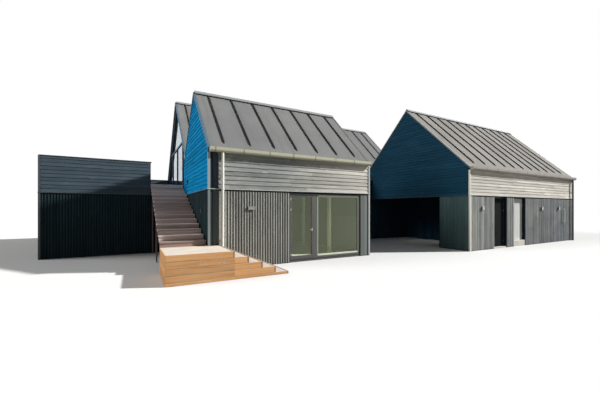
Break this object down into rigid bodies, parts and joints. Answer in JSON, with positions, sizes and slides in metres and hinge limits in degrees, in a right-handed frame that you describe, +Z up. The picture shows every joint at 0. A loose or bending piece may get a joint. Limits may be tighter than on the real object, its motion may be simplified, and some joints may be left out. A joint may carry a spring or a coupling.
{
  "type": "timber beach house with a raised terrace",
  "caption": "Beach house of three gabled timber blocks with batten felt roofs, a covered recess, a glazed gable, a raised terrace and an outside stair.",
  "frame": {"origin": "on the ground under the middle of the whole house's box", "axes": "+X along the ridges from the terrace to the annex, -Y the front with the doors, +Z up"},
  "size_m": [26.975, 15.724, 8.2478],
  "materials": {
    "blue_boards": "blue stained horizontal boards, weathered",
    "black_boards": "charcoal stained vertical boards, matt",
    "grey_boards": "weathered horizontal boards, silvered",
    "dark_frames": "dark grey painted frames",
    "glass": "clear sealed glazing",
    "roof_felt": "grey mineral roofing felt",
    "navy_boards": "dark navy stained boards",
    "plain_lining": "plain inner boarding",
    "silver_boards": "weathered horizontal boards, pale and warm",
    "concrete": "pale cast concrete",
    "dark_door": "near black boarded door",
    "grey_door": "light grey boarded door",
    "pale_posts": "pale painted timber posts",
    "deck_boards": "grey brown deck boards",
    "stair_timber": "reddish brown hardwood, weathered",
    "edge_timber": "orange tan timber edging under a pale sanded top",
    "felt_battens": "black felt over battens",
    "dark_flashing": "dark grey coated sheet",
    "zinc": "dull weathered zinc sheet",
    "pale_trim": "pale grey trim",
    "lamp_cases": "pale grey cast lamp cases"
  },
  "bodies": {
    "house": {"wing_gables": "blue_boards", "wing_front_walls": "black_boards", "wing_front_head": "grey_boards", "wing_glazing_frame": "dark_frames", "wing_roof_front": "roof_felt", "wing_roof_back": "roof_felt", "hall_side_walls": "black_boards", "hall_east_gable": "navy_boards", "hall_west_base": "black_boards", "hall_gable_frame": "dark_frames", "hall_upper_floor": "plain_lining", "hall_roof_front": "roof_felt", "hall_roof_back": "roof_felt", "window_glass": "glass", "annex_gables": "navy_boards", "annex_side_panel": "black_boards", "annex_front_walls": "black_boards", "annex_front_head": "silver_boards", "annex_far_wall": "black_boards", "annex_sills": "concrete", "annex_door_frames": "dark_frames", "annex_roof_front": "roof_felt", "annex_roof_back": "roof_felt", "recess_back_wall": "black_boards", "recess_side_wall": "black_boards", "recess_ceiling": "black_boards", "ground_floors": "concrete", "inner_posts": "pale_posts", "terrace_deck": "deck_boards", "terrace_front_wall": "grey_boards", "terrace_west_wall": "grey_boards", "terrace_far_wall": "navy_boards", "stair_treads": "stair_timber", "stair_risers": "stair_timber", "stair_stringers": "stair_timber", "landing": "edge_timber", "garden_steps": "edge_timber", "roof_battens": "felt_battens", "roof_flashings": "dark_flashing", "gutters": "zinc", "downpipes": "zinc", "wall_trims": "pale_trim", "wall_lamps": "lamp_cases", "wall_rail": "pale_trim"},
    "glazed_door": {"wing_door": "dark_frames", "wing_door_glass": "glass"},
    "dark_door": {"annex_dark_door": "dark_door"},
    "grey_door": {"annex_grey_door": "grey_door"}
  },
  "joints": [
    {"name": "glazed_door_hinge", "type": "hinge", "parent": "house", "child": "glazed_door", "pos_m": [-5.4745, -6.304, 0], "axis": [0, 0, -1], "range_deg": [0, 90]},
    {"name": "dark_door_hinge", "type": "hinge", "parent": "house", "child": "dark_door", "pos_m": [5.8245, -7.554, 0], "axis": [0, 0, 1], "range_deg": [0, 90]},
    {"name": "grey_door_hinge", "type": "hinge", "parent": "house", "child": "grey_door", "pos_m": [7.6445, -7.554, 0], "axis": [0, 0, 1], "range_deg": [0, 90]}
  ]
}
